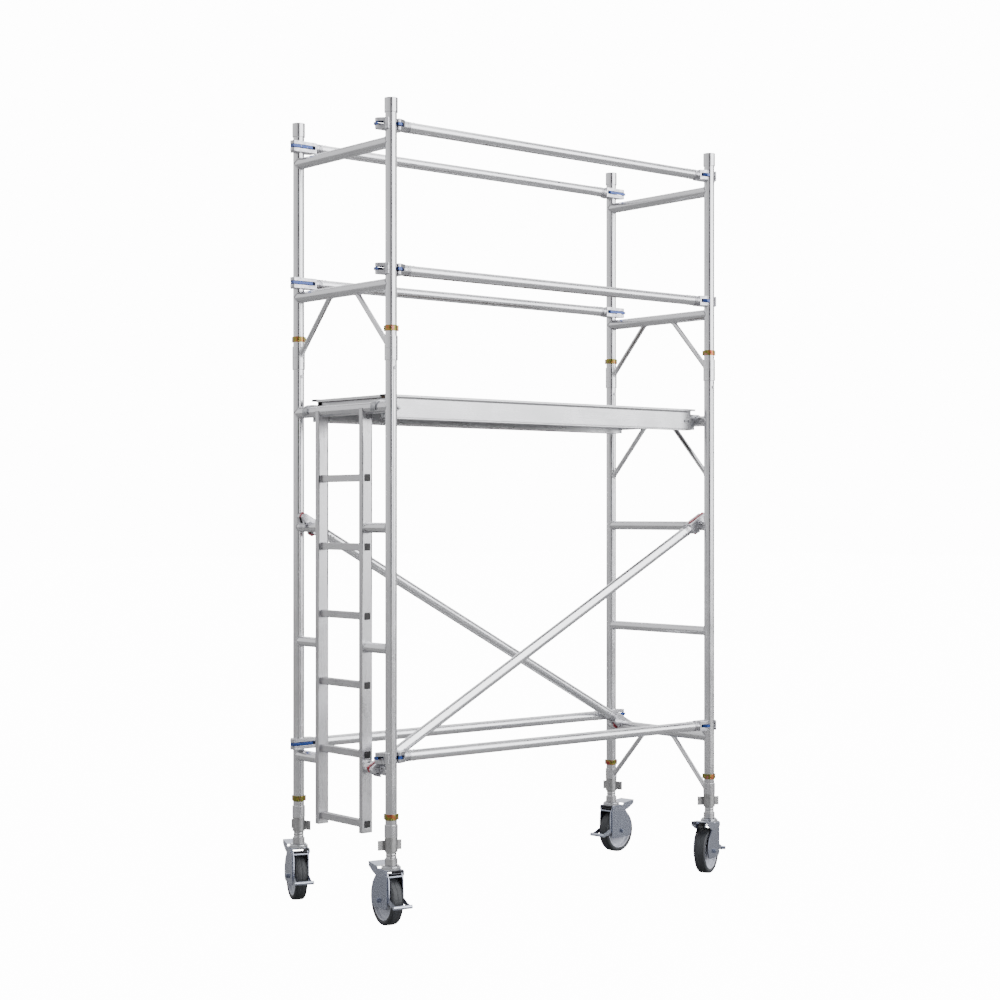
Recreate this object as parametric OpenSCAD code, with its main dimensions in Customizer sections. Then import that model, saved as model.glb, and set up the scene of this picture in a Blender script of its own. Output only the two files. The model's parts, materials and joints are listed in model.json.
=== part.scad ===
// One bay of a mobile aluminium scaffold tower, standing on four castors.
// A ladder frame and a plain frame carry a guard frame each. Rails and braces hook onto
// them with claws, and a platform with a trapdoor hangs on the two highest cross tubes.
// Millimetres, +Z up, +X from the ladder frame to the plain frame, -Y is the front.
// The origin is on the floor, under the middle of the overall footprint.

/* [Bay] */
// Distance between the two end frames, post centre to post centre
bay_length = 1950; // [1600:10:2500]
// Distance between the two posts of a frame, centre to centre
bay_width = 700; // [680:10:900]

/* [Frames] */
// Height of a lower frame, from its foot to its top
frame_h = 2082; // [2050:1:2200]
// Height of a guard frame
guard_h = 1065; // [1000:1:1300]
// Lowest cross tube, above the foot of the lower frame
first_tube_h = 282; // [270:1:330]
// Spacing of the four cross tubes of a lower frame
tube_pitch = 517; // [500:1:540]
// Middle cross tube, above the foot of the guard frame
guard_mid_h = 274; // [270:1:400]
// Top cross tube, above the foot of the guard frame
guard_top_h = 880; // [700:1:900]
// Length of a knee brace along the cross tube
knee_run = 265; // [200:1:300]
// Depth of a knee brace along the post
knee_drop = 282; // [240:1:290]

/* [Tubes] */
// Outside diameter of the posts and of the main cross tubes
post_d = 50.8; // [48:0.1:60]
// Wall of the post tube
post_wall = 2; // [1.6:0.1:3]
// Outside diameter of the two light cross tubes of a lower frame
light_d = 45; // [38:0.5:48]
// Outside diameter of the knee braces
knee_d = 24; // [20:1:30]
// Outside diameter of the rails and diagonal braces
rail_d = 48; // [42:0.5:50]
// Wall of every tube other than the posts
tube_wall = 1.8; // [1.5:0.1:3]
// Thickness of the collar at each end of a post
collar_t = 3.6; // [2.5:0.1:6]
// Height of the collars at the joint and at the foot
collar_h = 52; // [45:1:60]
// Depth of the socket in the top of a guard post, and height of its collar
socket_h = 62; // [50:1:80]
// Depth that the socket's wall stands back from the bore of the post
socket_step = 1.1; // [0.9:0.1:1.3]

/* [Joints between frames] */
// Total length of the spigot between two frames
spigot_len = 230; // [180:1:260]
// Height of the spigot's rivet below the joint
rivet_drop = 84; // [70:1:100]
// Diameter of that rivet
rivet_d = 10; // [8:1:12]
// Centre of a spring clip above the foot of its post
clip_rise = 85; // [75:1:100]
// Height of a spring clip
clip_h = 25; // [15:1:30]
// Sheet thickness of a spring clip
clip_t = 1.5; // [1:0.1:2.5]
// Length of each of its two tails
clip_tail = 9; // [6:0.5:12]

/* [Ladder] */
// Clear width between the ladder's stiles
ladder_clear = 306; // [280:1:320]
// Stile thickness across the ladder
stile_t = 25; // [20:1:35]
// Stile depth
stile_depth = 55; // [45:1:70]
// Stile foot above the foot of the frame
stile_foot_h = -6; // [-20:1:20]
// Outside size of the square rungs
rung_size = 30; // [24:1:36]
// Number of rungs
rung_count = 6; // [3:1:6]
// Lowest rung above the foot of the frame
rung_first_h = 32; // [25:1:80]
// Spacing of the rungs
rung_pitch = 300; // [250:1:300]

/* [Rails and claws] */
// Base rail above the lowest cross tube
base_rail_lift = 54; // [53:1:80]
// Middle rail above the middle cross tube of the guard frame
mid_rail_lift = 64; // [53:1:90]
// Top rail above the top cross tube of the guard frame
top_rail_lift = 75; // [53:1:78]
// Thickness of a claw along the tube that it grips
claw_h = 48; // [40:1:50]
// Wall of the jaw around the gripped tube
jaw_wall = 11; // [8:0.5:14]
// Gap between the jaw and the gripped tube
jaw_gap = 0.4; // [0.2:0.1:0.8]
// Reach of the claw past the gripped tube's centre
claw_reach = 60; // [55:1:65]
// Distance from the gripped tube's centre to the rail's end
claw_len = 104; // [98:1:120]
// Sideways offset of the rail from the gripped tube's centre
claw_offset = 18; // [14:0.5:18]
// Radial height of the neck's ring ribs over the rail
neck_lip = 1; // [0.5:0.5:1.5]
// Height of the slot that the trigger moves in
slot_h = 15; // [13:0.5:17]
// Height of the trigger
trigger_h = 13; // [10:0.5:13]
// Diameter of the trigger's pivot pin
trigger_pin_d = 6; // [5:0.5:7]

/* [Platform] */
// Height of the deck above the centre of the tube it hooks on
deck_rise = 59; // [56:1:75]
// Width of the platform over its side beams
deck_w = 556; // [520:1:560]
// Height of a side beam
beam_h = 105; // [90:1:120]
// Width of a side beam
beam_w = 40; // [32:1:50]
// Wall of a side beam
beam_wall = 2.5; // [2:0.1:4]
// Distance from the tube's centre to the end of a beam's web
beam_gap = 54; // [45:1:70]
// Distance from the tube's centre to the end of the deck strip
strip_gap = 22; // [15:1:30]
// Width of the aluminium strip across each end of the deck
end_strip = 12; // [8:1:16]
// Thickness of the plywood deck
ply_t = 12; // [9:1:15]
// Size of the square joists under the deck
joist = 30; // [25:1:40]
// Length of the trapdoor along the platform
trap_len = 572; // [500:1:620]
// Gap around the trapdoor
trap_gap = 3; // [2:0.5:5]
// Wall of a hook over its tube
hook_wall = 7; // [6:0.5:10]

/* [Legs] */
// Foot of the lower frame above the floor, set by the adjusting nuts
foot_z = 383; // [355:1:420]
// Height of an adjusting nut
nut_h = 63; // [50:1:66]
// Wall of an adjusting nut
nut_wall = 4.65; // [3.5:0.05:7]
// Reach of each wing of an adjusting nut
wing_reach = 26; // [20:1:30]
// Height of the wings
wing_h = 42; // [30:1:48]
// Thickness of the wings
wing_t = 6; // [4:0.5:8]
// Distance of the wings' plane from the nut's axis
wing_offset = 17; // [10:0.5:20]
// Radial clearance of the leg in the post
leg_gap = 0.1; // [0.05:0.01:0.3]
// Wall of the leg tube
leg_wall = 4; // [3:0.5:6]
// Length of the leg inside the post when it is drawn in
leg_insert = 300; // [220:1:320]
// Width of the four long grooves in a leg
groove_w = 7; // [4:0.5:10]
// Depth of those grooves
groove_depth = 2; // [1:0.1:3]
// Diameter of the leg's base
leg_base_d = 55; // [48:1:60]
// Height of the leg's base
leg_base_h = 28; // [20:1:35]

/* [Castors] */
// Wheel diameter, over the tyre
wheel_d = 220; // [160:1:224]
// Tyre width
tyre_w = 56; // [40:1:60]
// Diameter of the wheel core, inside the tyre
core_d = 178; // [130:1:184]
// Distance from the swivel axis back to the axle
trail = 40; // [30:1:50]
// Axle bolt diameter
axle_d = 12; // [10:1:16]
// Top of the fork above the floor
fork_top_z = 246; // [240:1:256]
// Thickness of the fork's side plates
fork_t = 4; // [3:0.5:5]
// Width inside the fork
fork_gap = 72; // [64:1:80]
// Height of the raceway on the fork
race_h = 17; // [12:1:20]
// Diameter of the raceway
race_d = 84; // [70:1:90]
// Reach of the brake pedal from the swivel axis
pedal_reach = 136; // [115:1:145]
// Reach of the release bar from the swivel axis
release_reach = 112; // [100:1:125]
// Diameter of the brake's pivot pin
brake_pin_d = 8; // [6:1:10]
// Direction that the front left wheel trails in
castor_turn_fl = 79; // [0:1:360]
// Direction that the back left wheel trails in
castor_turn_bl = 69; // [0:1:360]
// Direction that the front right wheel trails in
castor_turn_fr = 204; // [0:1:360]
// Direction that the back right wheel trails in
castor_turn_br = 8; // [0:1:360]
// Direction of the front left adjusting nut's wings
nut_turn_fl = -15; // [-180:1:180]
// Direction of the back left adjusting nut's wings
nut_turn_bl = -72; // [-180:1:180]
// Direction of the front right adjusting nut's wings
nut_turn_fr = -29; // [-180:1:180]
// Direction of the back right adjusting nut's wings
nut_turn_br = -70; // [-180:1:180]

/* [Hidden] */
$fn = 48;
eps = 0.01;
fl = 0;
bl = 1;
fr = 2;
br = 3;
castor_turn = [castor_turn_fl, castor_turn_bl, castor_turn_fr, castor_turn_br];
nut_turn = [nut_turn_fl, nut_turn_bl, nut_turn_fr, nut_turn_br];

// Footprint: how far the castors at each side reach past the posts
wheel_r = wheel_d / 2;
function wheel_reach(turn) = trail * cos(turn) + wheel_r * abs(cos(turn)) + tyre_w / 2 * abs(sin(turn));
function bar_reach(turn) = -release_reach * cos(turn) + fork_gap / 2 * abs(sin(turn));
right_reach = max([for (k = [fr, br]) max(wheel_reach(castor_turn[k]), bar_reach(castor_turn[k]))]);
left_reach = max([for (k = [fl, bl])
    max(wheel_reach(castor_turn[k] - 180), bar_reach(castor_turn[k] - 180))]);
back_reach = max([for (k = [bl, br])
    max(wheel_reach(castor_turn[k] - 90), bar_reach(castor_turn[k] - 90))]);
front_reach = max([for (k = [fl, fr])
    max(wheel_reach(castor_turn[k] + 90), bar_reach(castor_turn[k] + 90))]);
mid_x = round((left_reach - right_reach) / 2);
mid_y = round((front_reach - back_reach) / 2);

// Post axes
left_x = mid_x - bay_length / 2;
right_x = mid_x + bay_length / 2;
front_y = mid_y - bay_width / 2;
back_y = mid_y + bay_width / 2;
corner = [[left_x, front_y], [left_x, back_y], [right_x, front_y], [right_x, back_y]];

// Heights
joint_z = foot_z + frame_h;
top_z = joint_z + guard_h;
tube_z = [for (i = [0:3]) foot_z + first_tube_h + i * tube_pitch];
guard_mid_z = joint_z + guard_mid_h;
guard_top_z = joint_z + guard_top_h;
rail_z = [tube_z[0] + base_rail_lift, guard_mid_z + mid_rail_lift, guard_top_z + top_rail_lift];
deck_z = tube_z[3] + deck_rise;

// Tubes and what fits in them
post_r = post_d / 2;
light_r = light_d / 2;
post_bore = post_d - 2 * post_wall;
spigot_d = post_bore - 2 * leg_gap;
collar_d = post_d + 2 * collar_t;
socket_d = post_bore + 2 * socket_step;
run_gap = 0.05;
weld_gap = 0.1;
seat_gap = 0.3;
tube_r = [post_r, light_r, light_r, post_r];

// Ladder
ladder_y = mid_y;
stile_y = [ladder_y - ladder_clear / 2 - stile_t, ladder_y + ladder_clear / 2];
ladder_w = ladder_clear + 2 * stile_t;
rung_wall = 2;
plug_t = 2;

// Claws: the slot's web, the trigger's pivot and the bar
claw_back = claw_offset + rail_d / 2 + 1;
neck_d = rail_d + 2 * neck_lip;
bar_back = claw_back + 3;
brace_inset = bar_back + claw_h / 2 + 3;
web_t = 5;
slot_end = 62;
pivot = [45, 30];
bar_t = 7;
bar_front = claw_back - 4;
jaw_tip = 20;
rib_w = 6;
neck_start = 70;
spigot_in = 40;

// Platform
deck_left = left_x + strip_gap;
deck_right = right_x - strip_gap;
deck_front = mid_y - deck_w / 2;
deck_back = mid_y + deck_w / 2;
beam_low = deck_z - beam_h;
ply_top = deck_z - 2;
ply_low = ply_top - ply_t;
ply_front = deck_front + beam_w;
ply_back = deck_back - beam_w;
trap_end = deck_left + trap_len;
joist_x = [left_x + beam_gap + joist / 2, trap_end + trap_gap / 2,
    trap_end + 432, trap_end + 802, right_x - beam_gap - joist / 2];
hinge_r = 5;
hinge_pin_d = 6;
hinge_y = ply_back - hinge_r - 0.5;
hinge_z = deck_z + 3.4;
hinge_x = [deck_left + 130, trap_end - 130];
knuckle = 40;
grip = [100, 36];

// Legs and castors
nut_low = foot_z - nut_h - run_gap;
nut_d = spigot_d + 2 * run_gap + 2 * nut_wall;
wing_span = nut_d + 2 * wing_reach;
leg_low = fork_top_z + race_h + 1;
axle_z = wheel_r;
brake_pin = [-30, fork_top_z - 16];
fork_half = fork_gap / 2;
arm_t = 3;
skirt_gap = 1;
skirt_t = 2.5;
fork_front = -40;

// A hollow tube along +Z
module pipe(d, wall, h) {
    difference() {
        cylinder(d = d, h = h);
        translate([0, 0, -eps]) cylinder(d = d - 2 * wall, h = h + 2 * eps);
    }
}

// A hollow square tube along +Z, centred on the axis
module box_pipe(a, b, wall, h) {
    difference() {
        translate([-a / 2, -b / 2, 0]) cube([a, b, h]);
        translate([-a / 2 + wall, -b / 2 + wall, -eps]) cube([a - 2 * wall, b - 2 * wall, h + 2 * eps]);
    }
}

// ---- Frames ----

// A post with a collar at each end. A positive socket widens the top of its bore.
module post(h, top_collar, socket) {
    difference() {
        union() {
            cylinder(d = post_d, h = h);
            cylinder(d = collar_d, h = collar_h);
            translate([0, 0, h - top_collar]) cylinder(d = collar_d, h = top_collar);
        }
        translate([0, 0, -eps]) cylinder(d = post_bore, h = h + 2 * eps);
        if (socket > 0) translate([0, 0, h - socket]) cylinder(d = socket_d, h = socket + eps);
    }
}

// The lower frame's post: its spigot's rivet passes through it from front to back
module lower_post(x, y) {
    difference() {
        translate([x, y, foot_z]) post(frame_h, collar_h, 0);
        translate([x, y, joint_z - rivet_drop]) rotate([90, 0, 0])
            cylinder(d = rivet_d, h = 2 * post_d, center = true);
    }
}

module lower_posts(x) {
    for (y = [front_y, back_y]) lower_post(x, y);
}

// The space that the two posts of a frame fill, with their collars and the weld's gap
module post_space(x) {
    for (y = [front_y, back_y]) {
        translate([x, y, foot_z]) cylinder(d = post_d + 2 * weld_gap, h = frame_h + guard_h);
        for (z = [foot_z, joint_z]) translate([x, y, z - collar_h])
            cylinder(d = collar_d + 2 * weld_gap, h = 2 * collar_h + weld_gap);
    }
}

// A cross tube from y0 to y1, coped to the posts
module cross_tube(x, z, d, y0, y1) {
    difference() {
        translate([x, y0, z]) rotate([-90, 0, 0]) pipe(d, tube_wall, y1 - y0);
        post_space(x);
    }
}

// The two knee braces under the cross tube at z, coped to the posts and the tube
module knee_braces(x, z, d) {
    lean = atan2(knee_run, knee_drop);
    length = norm([knee_run, knee_drop]);
    for (side = [-1, 1]) {
        difference() {
            translate([x, mid_y + side * bay_width / 2, z - knee_drop])
                rotate([side * lean, 0, 0]) pipe(knee_d, tube_wall, length);
            post_space(x);
            translate([x, front_y, z]) rotate([-90, 0, 0])
                cylinder(d = d + 2 * weld_gap, h = bay_width);
        }
    }
}

module ladder_frame() color("gainsboro") {
    lower_posts(left_x);
    cross_tube(left_x, tube_z[3], post_d, front_y, back_y);
    for (i = [0:2]) {
        cross_tube(left_x, tube_z[i], 2 * tube_r[i], front_y, stile_y[0]);
        cross_tube(left_x, tube_z[i], 2 * tube_r[i], stile_y[1] + stile_t, back_y);
    }
}

function rung_z(i) = foot_z + rung_first_h + i * rung_pitch;

module ladder_stiles() color("gainsboro") {
    stile_low = foot_z + stile_foot_h;
    for (y = stile_y) {
        difference() {
            translate([left_x, y + stile_t / 2, stile_low])
                box_pipe(stile_depth, stile_t, rung_wall, tube_z[3] - stile_low);
            translate([left_x, front_y, tube_z[3]]) rotate([-90, 0, 0])
                cylinder(r = post_r + weld_gap, h = bay_width);
            for (i = [0:rung_count - 1]) translate([left_x, y + stile_t / 2, rung_z(i)])
                cube([rung_size, 2 * stile_t, rung_size], center = true);
        }
    }
}

module ladder_rungs() color("gainsboro") {
    for (i = [0:rung_count - 1]) translate([left_x, stile_y[0], rung_z(i)])
        rotate([-90, 0, 0]) box_pipe(rung_size, rung_size, rung_wall, ladder_w);
}

module rung_plugs() color([0.08, 0.08, 0.09]) {
    head = rung_size - 1;
    inside = rung_size - 2 * rung_wall - 0.4;
    for (i = [0:rung_count - 1]) {
        for (side = [-1, 1]) {
            translate([left_x, ladder_y + side * (ladder_w + plug_t) / 2, rung_z(i)])
                cube([head, plug_t, head], center = true);
            translate([left_x, ladder_y + side * (ladder_w / 2 - 6 + eps), rung_z(i)])
                cube([inside, 12, inside], center = true);
        }
    }
}

module plain_frame() color("gainsboro") {
    lower_posts(right_x);
    for (i = [0:3]) cross_tube(right_x, tube_z[i], 2 * tube_r[i], front_y, back_y);
    knee_braces(right_x, tube_z[0], post_d);
    knee_braces(right_x, tube_z[3], post_d);
}

module guard_frames() color("gainsboro") {
    for (x = [left_x, right_x]) {
        for (y = [front_y, back_y]) translate([x, y, joint_z]) post(guard_h, socket_h, socket_h);
        cross_tube(x, guard_mid_z, post_d, front_y, back_y);
        cross_tube(x, guard_top_z, post_d, front_y, back_y);
        knee_braces(x, guard_mid_z, post_d);
    }
}

// A tube inside the two posts, held in the lower one by a headed rivet
module frame_spigots() color("silver") {
    head_h = 3;
    for (c = corner) {
        translate([c[0], c[1], joint_z - spigot_len / 2]) pipe(spigot_d, 3, spigot_len);
        translate([c[0], c[1], joint_z - rivet_drop]) rotate([90, 0, 0]) {
            cylinder(d = rivet_d, h = post_d, center = true);
            for (side = [-1, 1]) translate([0, 0, side * (post_r + head_h / 2)])
                cylinder(d = rivet_d + 6, h = head_h, center = true);
        }
    }
}

// A split band that hugs the post, with a tail bent out at each end and a locking pin's head
module spring_clip() {
    open_angle = 70;
    outer_r = post_r + clip_t;
    difference() {
        cylinder(r = outer_r, h = clip_h, center = true);
        cylinder(r = post_r + run_gap, h = clip_h + 1, center = true);
        linear_extrude(clip_h + 1, center = true)
            polygon([[0, 0], [80 * cos(open_angle), -80 * sin(open_angle)], [80, -80], [80, 80],
                [80 * cos(open_angle), 80 * sin(open_angle)]]);
    }
    for (side = [-1, 1]) rotate(side * open_angle)
        translate([post_r + 0.2 + clip_tail / 2, -side * clip_t / 2, 0])
            cube([clip_tail, clip_t, clip_h], center = true);
    translate([-outer_r + 1, 0, 0]) rotate([0, -90, 0]) cylinder(d = 11, h = 4);
}

module interlock_clips() color([0.72, 0.66, 0.25]) {
    clip_turn = 50;
    for (c = corner) for (z = [foot_z, joint_z])
        translate([c[0], c[1], z + clip_rise]) rotate(clip_turn) spring_clip();
}

// ---- Rails, braces and claws ----

// A claw's own frame: the gripped tube runs along Z through the origin, the rail leaves
// along +X at Y = claw_offset, the mouth opens to -Y and the trigger lies at the +Y back.
module rail_claw_frame(k) {
    turn = [[0, 0, 0], [180, 0, 0], [0, 180, 0], [0, 0, 180]];
    rotate(turn[k]) children();
}

brace_rise = tube_z[2] - tube_z[0];
brace_angle = atan2(brace_rise, bay_length);
brace_len = norm([brace_rise, bay_length]);

// The front brace rises from left to right, and the back brace falls
module brace_claw_frame(k) {
    tilt = [-brace_angle, brace_angle, -brace_angle, brace_angle];
    far = [0, 0, 180, 180];
    at = [[left_x, front_y + brace_inset, tube_z[0]], [left_x, back_y - brace_inset, tube_z[2]],
        [right_x, front_y + brace_inset, tube_z[2]], [right_x, back_y - brace_inset, tube_z[0]]];
    translate(at[k]) rotate([0, tilt[k], 0]) rotate([90, 0, 0]) rotate([0, far[k], 0]) children();
}

function brace_grip_r(k) = (k == fl || k == br) ? post_r : light_r;

// Outline of a claw around a tube of radius r, seen along that tube
module claw_outline(r) {
    jaw = r + jaw_gap;
    difference() {
        union() {
            circle(r = jaw + jaw_wall);
            polygon([[-jaw - jaw_wall, -4], [-claw_reach, 20], [-claw_reach, claw_back - 8],
                [-claw_reach + 8, claw_back], [neck_start, claw_back], [neck_start, claw_offset - 25],
                [jaw + jaw_wall, -jaw_tip]]);
        }
        circle(r = jaw);
        translate([-jaw, -100]) square([2 * jaw, 100]);
        translate([-100, -100 - jaw_tip]) square([200, 100]);
    }
}

// Space for the trigger: open at the back and at the near jaw, with a web left round the tube
module trigger_slot(r) {
    linear_extrude(slot_h, center = true) {
        difference() {
            translate([-80, 0]) square([80 + slot_end, 80]);
            circle(r = r + jaw_gap + web_t);
        }
        translate([r * 0.5, -60]) square([slot_end - r * 0.5, 72]);
    }
}

module claw(r) {
    rib_r = neck_d / 2;
    spigot_r = rail_d / 2 - tube_wall - 0.1;
    difference() {
        union() {
            linear_extrude(claw_h, center = true) claw_outline(r);
            translate([neck_start - 6, claw_offset, 0]) rotate([0, 90, 0])
                cylinder(r = rib_r - 1.5, h = claw_len - neck_start + 6);
            for (x = [claw_len - 3 * rib_w, claw_len - rib_w]) translate([x, claw_offset, 0])
                rotate([0, 90, 0]) cylinder(r = rib_r, h = rib_w);
        }
        trigger_slot(r);
    }
    translate([claw_len - eps, claw_offset, 0]) rotate([0, 90, 0])
        cylinder(r = spigot_r, h = spigot_in);
    translate([pivot[0], pivot[1], 0]) cylinder(d = trigger_pin_d, h = claw_h - 2, center = true);
}

// A bar along the claw's back, a leg beside the tube and a nose that closes the mouth
module trigger(r) {
    bar_back = bar_front + bar_t;
    leg_in = pivot[0] - 7;
    leg_out = pivot[0] + 7;
    nose = r - 5;
    linear_extrude(trigger_h, center = true) difference() {
        polygon([[-claw_reach + 1, bar_back], [leg_out - 6, bar_back], [leg_out, bar_back - 6],
            [leg_out, -8], [leg_out - 12, -27], [nose, -27], [nose, -22], [leg_in - 2, -13],
            [leg_in, 6], [leg_in, bar_front], [-claw_reach + 6, bar_front],
            [-claw_reach + 6, 20], [-claw_reach + 1, 20]]);
        translate(pivot) circle(r = trigger_pin_d / 2 + run_gap);
    }
}

module claws() color("lightgray") {
    for (k = [fl:br]) {
        for (z = rail_z) translate([corner[k][0], corner[k][1], z]) rail_claw_frame(k) claw(post_r);
        brace_claw_frame(k) claw(brace_grip_r(k));
    }
}

module horizontal_rails() color("gainsboro") {
    for (k = [fl, bl]) for (z = rail_z) translate([corner[k][0], corner[k][1], z]) rail_claw_frame(k)
        translate([claw_len, claw_offset, 0]) rotate([0, 90, 0])
            pipe(rail_d, tube_wall, bay_length - 2 * claw_len);
}

module diagonal_braces() color("gainsboro") {
    for (k = [fl, bl]) brace_claw_frame(k) translate([claw_len, claw_offset, 0]) rotate([0, 90, 0])
        pipe(rail_d, tube_wall, brace_len - 2 * claw_len);
}

// Rivet heads that hold a rail on its claw, above and below the tube
module rail_rivets() {
    head_d = 9;
    difference() {
        for (x = [12, 30]) translate([claw_len + x, claw_offset, 0])
            cylinder(d = head_d, h = rail_d + 3, center = true);
        translate([claw_len, claw_offset, 0]) rotate([0, 90, 0]) cylinder(d = rail_d, h = spigot_in);
    }
}

module claw_rivets() color("silver") {
    for (k = [fl:br]) {
        for (z = rail_z) translate([corner[k][0], corner[k][1], z]) rail_claw_frame(k) rail_rivets();
        brace_claw_frame(k) rail_rivets();
    }
}

module rail_trigger(k, level) color("royalblue")
    translate([corner[k][0], corner[k][1], rail_z[level]]) rail_claw_frame(k) trigger(post_r);

module brace_trigger(k) color("firebrick") brace_claw_frame(k) trigger(brace_grip_r(k));

// ---- Platform ----

// Mirrors its children to both ends or both sides of the platform
module both_ends() {
    children();
    translate([2 * mid_x, 0, 0]) mirror([1, 0, 0]) children();
}

module both_sides() {
    children();
    translate([0, 2 * mid_y, 0]) mirror([0, 1, 0]) children();
}

hook_bolt_x = [14, 40];
hook_bolt_d = 8;

module deck_beams() color("gainsboro") {
    strip_h = 10;
    both_sides() difference() {
        translate([deck_left, deck_front + beam_w / 2, beam_low + beam_h / 2]) rotate([0, 90, 0])
            box_pipe(beam_h, beam_w, beam_wall, deck_right - deck_left);
        both_ends() translate([deck_left - 1, deck_front - 1, beam_low - 1])
            cube([beam_gap - strip_gap + 1, beam_w + 2, beam_h - strip_h + 1]);
        both_ends() for (x = hook_bolt_x)
            translate([left_x + beam_gap + x, deck_front - 1, tube_z[3]]) rotate([-90, 0, 0])
                cylinder(d = hook_bolt_d, h = beam_wall + 2);
    }
    for (x = joist_x) translate([x, ply_front, ply_low - joist / 2]) rotate([-90, 0, 0])
        box_pipe(joist, joist, tube_wall, ply_back - ply_front);
    both_ends() translate([deck_left, ply_front, ply_low]) cube([end_strip, ply_back - ply_front, ply_t]);
    for (x = hinge_x) fixed_knuckles(x);
}

// The two outer knuckles of a trapdoor hinge, with its pin, on a leaf on the back beam
module fixed_knuckles(x) {
    for (side = [-1, 1]) translate([x + side * (knuckle / 2 + 10.3), hinge_y, hinge_z])
        rotate([0, 90, 0]) cylinder(r = hinge_r, h = 20, center = true);
    translate([x, hinge_y, hinge_z]) rotate([0, 90, 0])
        cylinder(d = hinge_pin_d, h = knuckle + 40, center = true);
    for (side = [-1, 1]) translate([x + side * (knuckle / 2 + 10.3) - 10, hinge_y, deck_z])
        cube([20, 26, 2]);
}

module deck_panel() color([0.22, 0.16, 0.12])
    translate([trap_end + trap_gap, ply_front, ply_low])
        cube([deck_right - end_strip - trap_end - trap_gap, ply_back - ply_front, ply_t]);

// Hooks that drop over the highest cross tubes, with a tongue bolted inside the beam
module deck_hooks() color("silver") {
    hook_r = post_r + jaw_gap;
    hook_w = beam_w - 2 * beam_wall - 0.4;
    low = beam_low - tube_z[3] + beam_wall + 0.5;
    both_ends() both_sides() translate([left_x, deck_front + beam_w / 2, tube_z[3]]) {
        rotate([90, 0, 0]) linear_extrude(hook_w, center = true) difference() {
            union() {
                circle(r = hook_r + hook_wall);
                translate([0, low]) square([beam_gap + 56, hook_r + hook_wall - low]);
            }
            circle(r = hook_r);
            translate([-hook_r, -100]) square([2 * hook_r, 100]);
            translate([-100, -116]) square([100, 100]);
        }
        for (x = hook_bolt_x) translate([beam_gap + x, -hook_w / 2 + 1, 0]) rotate([90, 0, 0]) {
            cylinder(d = hook_bolt_d, h = (beam_w - hook_w) / 2 + 1);
            translate([0, 0, (beam_w - hook_w) / 2 + 1]) cylinder(d = 15, h = 5);
        }
    }
}

module trapdoor() color([0.24, 0.18, 0.13]) {
    leaf_w = 26;
    difference() {
        translate([deck_left + end_strip + trap_gap, ply_front + trap_gap, ply_low + seat_gap])
            cube([trap_len - end_strip - trap_gap, hinge_y - ply_front - trap_gap, ply_t - seat_gap]);
        translate([(deck_left + trap_end) / 2, ply_front + 60, ply_low + ply_t / 2])
            cube([grip[0], grip[1], 2 * ply_t], center = true);
    }
    for (x = hinge_x) difference() {
        union() {
            translate([x, hinge_y, hinge_z]) rotate([0, 90, 0])
                cylinder(r = hinge_r, h = knuckle, center = true);
            translate([x - knuckle / 2, hinge_y - leaf_w, ply_top]) cube([knuckle, leaf_w, 3]);
        }
        translate([x, hinge_y, hinge_z]) rotate([0, 90, 0])
            cylinder(d = hinge_pin_d + 2 * run_gap, h = knuckle + 2, center = true);
    }
}

// ---- Legs and castors ----

king_pin_d = 16;
king_nut_d = 26;

// A grooved tube on a solid base that the castor's king pin turns in
module leg(k) color("silver") translate(corner[k]) {
    leg_top = foot_z + leg_insert;
    base_top = leg_low + leg_base_h;
    difference() {
        union() {
            translate([0, 0, leg_low]) cylinder(d = leg_base_d, h = leg_base_h);
            translate([0, 0, leg_low]) cylinder(d = spigot_d, h = leg_top - leg_low);
        }
        translate([0, 0, base_top]) cylinder(d = spigot_d - 2 * leg_wall, h = leg_top);
        translate([0, 0, leg_low - 1]) cylinder(d = king_pin_d + 2 * run_gap, h = leg_base_h + 2);
        for (a = [0:90:270]) rotate(a + 45) translate([spigot_d / 2 - groove_depth, -groove_w / 2, base_top])
            cube([groove_depth + 1, groove_w, leg_top]);
    }
}

// A threaded sleeve with two flat wings, which carries the foot of the frame
module adjusting_nut(k) color("lightgray") translate([corner[k][0], corner[k][1], nut_low])
    rotate(nut_turn[k]) difference() {
        union() {
            cylinder(d = nut_d, h = nut_h);
            translate([-wing_span / 2, wing_offset - wing_t / 2, 5]) cube([wing_span, wing_t, wing_h]);
        }
        translate([0, 0, -1]) cylinder(d = spigot_d + 2 * run_gap, h = nut_h + 2);
    }

// A castor's own frame: the swivel axis is Z, and the wheel trails along +X
module castor_frame(k) {
    translate(corner[k]) rotate(castor_turn[k]) children();
}

// Extrudes a side-view outline (X along the trail, Y up) between two distances sideways
module plate(y0, y1) {
    translate([0, y1, 0]) rotate([90, 0, 0]) linear_extrude(y1 - y0) children();
}

module fork_side() {
    bottom = axle_z - 32;
    polygon([[fork_front, fork_top_z], [fork_front, bottom + 14], [fork_front + 10, bottom + 2],
        [fork_front + 20, bottom], [trail + 54, bottom], [trail + 66, bottom + 4],
        [trail + 74, bottom + 14], [trail + 78, axle_z + 4], [trail + 76, axle_z + 34],
        [trail + 62, fork_top_z - 66], [trail + 40, fork_top_z - 40], [trail + 4, fork_top_z]]);
}

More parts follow.
